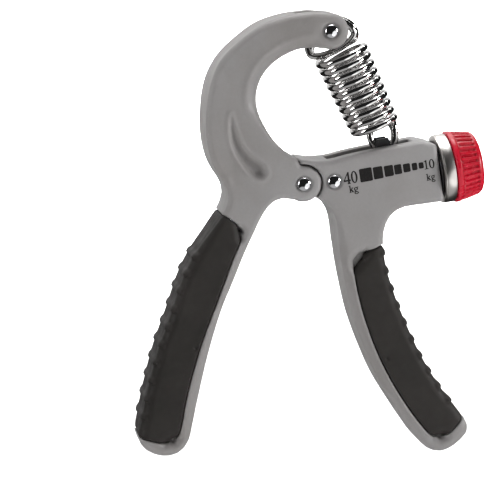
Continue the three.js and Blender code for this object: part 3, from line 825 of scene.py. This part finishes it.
def glyph_outlines():
    """Plain serif signs in a box one unit high: groups of outlines, the second of a group being its hole."""
    def oval(cx, cz, rx, rz, count=28):
        return [(cx + rx * math.cos(2 * math.pi * i / count), cz + rz * math.sin(2 * math.pi * i / count))
                for i in range(count)]

    zero = [[oval(0.28, 0.5, 0.29, 0.51), oval(0.28, 0.5, 0.13, 0.42)]]
    one = [[[(0.0, 0), (0.46, 0), (0.46, 0.06), (0.32, 0.09), (0.32, 1), (0.24, 1), (0.0, 0.87),
             (0.0, 0.81), (0.15, 0.84), (0.15, 0.09), (0.0, 0.06)]]]
    four = [[[(0.32, 0), (0.63, 0), (0.63, 0.05), (0.56, 0.08), (0.56, 0.23), (0.68, 0.23), (0.68, 0.35),
              (0.56, 0.35), (0.56, 1), (0.44, 1), (-0.01, 0.35), (-0.01, 0.23), (0.38, 0.23), (0.38, 0.08),
              (0.32, 0.05)],
             [(0.38, 0.35), (0.10, 0.35), (0.38, 0.77)]]]
    k = [[[(-0.02, 0), (0.30, 0), (0.30, 0.06), (0.24, 0.08), (0.24, 0.22), (0.28, 0.27), (0.40, 0.08),
           (0.36, 0.06), (0.36, 0), (0.70, 0), (0.70, 0.06), (0.62, 0.08), (0.40, 0.42), (0.54, 0.57),
           (0.64, 0.60), (0.64, 0.66), (0.34, 0.66), (0.34, 0.60), (0.39, 0.58), (0.24, 0.41),
           (0.24, 1.0), (-0.02, 0.97), (-0.02, 0.91), (0.07, 0.89), (0.07, 0.08), (-0.02, 0.06)]]]
    g = [[oval(0.26, 0.42, 0.25, 0.24), oval(0.26, 0.42, 0.10, 0.15)],
         [oval(0.28, -0.14, 0.29, 0.18), oval(0.28, -0.14, 0.15, 0.08)],
         [[(0.06, 0.22), (0.20, 0.26), (0.20, 0.12), (0.40, 0.05), (0.34, -0.02), (0.10, 0.03), (0.05, 0.12)]],
         [[(0.36, 0.56), (0.40, 0.66), (0.58, 0.68), (0.58, 0.57), (0.46, 0.55)]]]
    return {"0": zero, "1": one, "4": four, "k": k, "g": g}


def rounded_block(u0, u1, w0, w1, corner):
    points = []
    for cu, cw, start in ((u1 - corner, w1 - corner, 0), (u0 + corner, w1 - corner, 90),
                          (u0 + corner, w0 + corner, 180), (u1 - corner, w0 + corner, 270)):
        for i in range(5):
            angle = math.radians(start + 22.5 * i)
            points.append((cu + corner * math.cos(angle), cw + corner * math.sin(angle)))
    return points


def filled(loops):
    """The flat mesh of one outline and its holes, in the arm's frame."""
    curve = bpy.data.curves.new("outline", "CURVE")
    curve.dimensions = "2D"
    curve.fill_mode = "BOTH"
    curve.extrude = 0.02 * MM
    for loop in loops:
        line = curve.splines.new("POLY")
        line.points.add(len(loop) - 1)
        for point, (u, w) in zip(line.points, loop):
            point.co = (u * MM, w * MM, 0, 1)
        line.use_cyclic_u = True
    source = bpy.data.objects.new("outline", curve)
    bpy.context.scene.collection.objects.link(source)
    bpy.context.view_layer.update()
    mesh = bpy.data.meshes.new_from_object(source.evaluated_get(bpy.context.evaluated_depsgraph_get()))
    bpy.data.objects.remove(source)
    return mesh


def print_flat(name, groups):
    """Thin ink on the arm's front face."""
    ink = bmesh.new()
    for loops in groups:
        ink.from_mesh(filled(loops))
    mesh = bpy.data.meshes.new(name)
    ink.to_mesh(mesh)
    ink.free()
    mesh.transform(Matrix((
        (arm_axis[0], arm_up[0], 0, arm_origin[0] * MM),
        (0, 0, -1, -(HALF_DEPTH + 0.015) * MM),
        (arm_axis[1], arm_up[1], 0, arm_origin[1] * MM),
        (0, 0, 0, 1),
    )))
    mesh.materials.append(materials["scale_ink"])
    made = bpy.data.objects.new(name, mesh)
    bpy.context.scene.collection.objects.link(made)
    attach(made, "arm_side")


def printed_scale():
    """Figures for the strong and weak ends, and blocks that shrink between them."""
    signs = glyph_outlines()
    places = (
        ("4", 14.2, 2.2, 4.3, 0.86), ("0", 16.9, 2.2, 4.3, 0.95), ("k", 15.6, -1.0, 2.6, 0.95),
        ("g", 17.3, -1.0, 2.6, 1.1), ("1", 43.7, 2.4, 3.3, 0.95), ("0", 45.5, 2.4, 3.3, 1.05),
        ("k", 43.9, -1.75, 2.5, 0.95), ("g", 45.6, -1.75, 2.5, 1.0),
    )
    for i, (sign, u, w, height, wide) in enumerate(places):
        groups = [[[(u + x * height * wide, w + z * height) for x, z in loop] for loop in group]
                  for group in signs[sign]]
        print_flat(f"scale_sign_{i}", groups)
    widths = (4.6, 3.5, 3.3, 2.7, 2.6, 1.95, 1.8)
    starts = (20.05, 25.05, 29.1, 32.75, 36.0, 39.2, 41.7)
    blocks = len(widths)
    for i, (u, wide) in enumerate(zip(starts, widths)):
        share = i / (blocks - 1)
        low, high = 1.95 + 1.05 * share, 6.75 - 1.55 * share
        print_flat(f"scale_block_{i}", [[rounded_block(u, u + wide, low, high, 0.45)]])


# ---------------------------------------------------------------- carried-over CAD nodes


def carried_nodes():
    finish = {
        "pivot_bush": "brass", "pivot_washer_front": "acetal", "pivot_washer_rear": "acetal",
        "screw_anchor": "black_nylon", "travel_nut": "black_nylon",
    }
    for name, material in finish.items():
        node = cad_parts[name]
        node.data.materials.clear()
        node.data.materials.append(materials[material])
        edge = node.modifiers.new("edges", "BEVEL")
        edge.width = 0.00022
        edge.segments = 3
        edge.limit_method = "ANGLE"
        edge.angle_limit = math.radians(35)


# ---------------------------------------------------------------- floor, light and camera


def stage():
    floor = bpy.data.meshes.new("floor")
    size, height, steps = (FLOOR[k] for k in ("half", "height", "steps"))
    back = [(1.2 + 0.6 * math.sin(math.pi / 2 * i / steps), 0.6 * (1 - math.cos(math.pi / 2 * i / steps)))
            for i in range(steps + 1)]
    line = [(-size, 0), *back, (1.8, size)]
    vertices = [(x, y, height + z) for y, z in line for x in (-size, size)]
    faces = [(2 * i, 2 * i + 1, 2 * i + 3, 2 * i + 2) for i in range(len(line) - 1)]
    floor.from_pydata(vertices, [], faces)
    floor.shade_smooth()
    made, tree, shader = new_material("pale_floor", 0.75)
    cloud = noise(tree, 3, 2)
    link(tree, ramp(tree, cloud, [(0.3, 0.88), (0.7, 0.90)]), shader.inputs["Base Color"])
    shader.inputs["Specular IOR Level"].default_value = 0.15
    place = tree.nodes.new("ShaderNodeTexCoord")
    reach = tree.nodes.new("ShaderNodeVectorMath")
    reach.operation = "LENGTH"
    link(tree, place.outputs["Object"], reach.inputs[0])
    far = ramp(tree, reach.outputs["Value"], [(FLOOR["glow_from"], 0.0), (FLOOR["glow_full"], 1.0)])
    seen = tree.nodes.new("ShaderNodeLightPath").outputs["Is Camera Ray"]
    link(tree, mixed(tree, 1.0, far, seen, "MULTIPLY"), shader.inputs["Emission Strength"])
    shader.inputs["Emission Color"].default_value = (1, 1, 1, 1)
    floor.materials.append(made)
    sweep_object = bpy.data.objects.new("floor", floor)
    bpy.context.scene.collection.objects.link(sweep_object)
    sweep_object.visible_glossy = False


def softbox(name, place, target, size, power, spread=math.pi):
    data = bpy.data.lights.new(name, "AREA")
    data.shape = "RECTANGLE"
    data.size, data.size_y = size
    data.energy = power
    data.spread = spread
    lamp = bpy.data.objects.new(name, data)
    lamp.location = place
    lamp.rotation_euler = (Vector(target) - Vector(place)).to_track_quat("-Z", "Y").to_euler()
    bpy.context.scene.collection.objects.link(lamp)


def studio_world():
    """White behind the object, soft light round it, and dark flags that only metal mirrors."""
    world = bpy.data.worlds.new("studio")
    bpy.context.scene.world = world
    world.use_nodes = True
    tree = world.node_tree
    shader = tree.nodes["Background"]
    place = tree.nodes.new("ShaderNodeTexCoord")
    rays = tree.nodes.new("ShaderNodeLightPath")

    def facing(direction):
        """How far a direction agrees with another one, from 0 to 1."""
        dot = tree.nodes.new("ShaderNodeVectorMath")
        dot.operation = "DOT_PRODUCT"
        dot.inputs[1].default_value = Vector(direction).normalized()
        link(tree, place.outputs["Generated"], dot.inputs[0])
        share = tree.nodes.new("ShaderNodeMapRange")
        share.inputs["From Min"].default_value = -1
        link(tree, dot.outputs["Value"], share.inputs["Value"])
        return share.outputs["Result"]

    mirrored = (0.012, 0.012, 0.012)
    for direction, band in (
        ((0, 0.95, 0.3), [(0.88, 0.0), (0.94, 0.8)]),
        ((0.1, 0.25, 0.95), [(0.90, 0.0), (0.94, 0.7)]),
        ((0.62, -0.70, -0.40), [(0.935, 0.0), (0.95, 1.1)]),
        ((0.0, -0.40, -0.92), [(0.865, 0.0), (0.90, 0.42)]),
    ):
        mirrored = mixed(tree, 1.0, mirrored, ramp(tree, facing(direction), band), "ADD")
    soft = ramp(tree, facing((0, 0, 1)), [(0.0, 0.17), (0.5, 0.22), (1.0, 0.40)])
    indoors = mixed(tree, rays.outputs["Is Glossy Ray"], soft, mirrored)
    shown = mixed(tree, rays.outputs["Is Camera Ray"], indoors, (1.0, 1.0, 1.0))
    link(tree, shown, shader.inputs["Color"])


def lights():
    studio_world()
    softbox("key", (0.96, -0.46, 0.22), (0, 0, 0), (0.30, 0.36), 6.6)
    softbox("fill", (-0.92, -0.28, 0.12), (0, 0, -0.02), (0.20, 0.60), 2.6)
    softbox("top", (0.05, 0.12, 0.85), (0, 0, 0), (0.60, 0.35), 5)
    softbox("back_wash", (0, 0.7, 0.9), (0, 1.6, 0.0), (1.8, 0.9), 46)
    for x in (-1, 0, 1):
        softbox(f"floor_wash_{x}", (1.6 * x, -1.5, 1.3), (1.7 * x, -1.7, -0.13), (1.4, 1.4), 22, math.radians(80))
    bpy.context.scene.view_settings.view_transform = "Standard"


def camera():
    data = bpy.data.cameras.new("camera")
    data.sensor_width = 36
    data.lens = 160
    data.clip_start, data.clip_end = 0.05, 10
    made = bpy.data.objects.new("camera", data)
    distance, azimuth, elevation = 0.784, math.radians(-9.5), math.radians(9.5)
    away_from = Vector((
        math.sin(azimuth) * math.cos(elevation), -math.cos(azimuth) * math.cos(elevation), math.sin(elevation),
    ))
    made.rotation_euler = (-away_from).to_track_quat("-Z", "Y").to_euler()
    # The pivot's front point is seen right of the middle and above it, so the aim is beside it.
    right = made.rotation_euler.to_matrix() @ Vector((1, 0, 0))
    up = made.rotation_euler.to_matrix() @ Vector((0, 1, 0))
    target = Vector((0, -HALF_DEPTH * MM, 0)) - right * 0.01921 - up * 0.02315
    made.location = target + away_from * distance
    bpy.context.scene.collection.objects.link(made)
    bpy.context.scene.camera = made


# ---------------------------------------------------------------- assembly

camera()
lights()
stage()
hook_side()
arm_side()
rivets()
collar_and_plug()
knob()
lead_screw()
spring()
printed_scale()
carried_nodes()
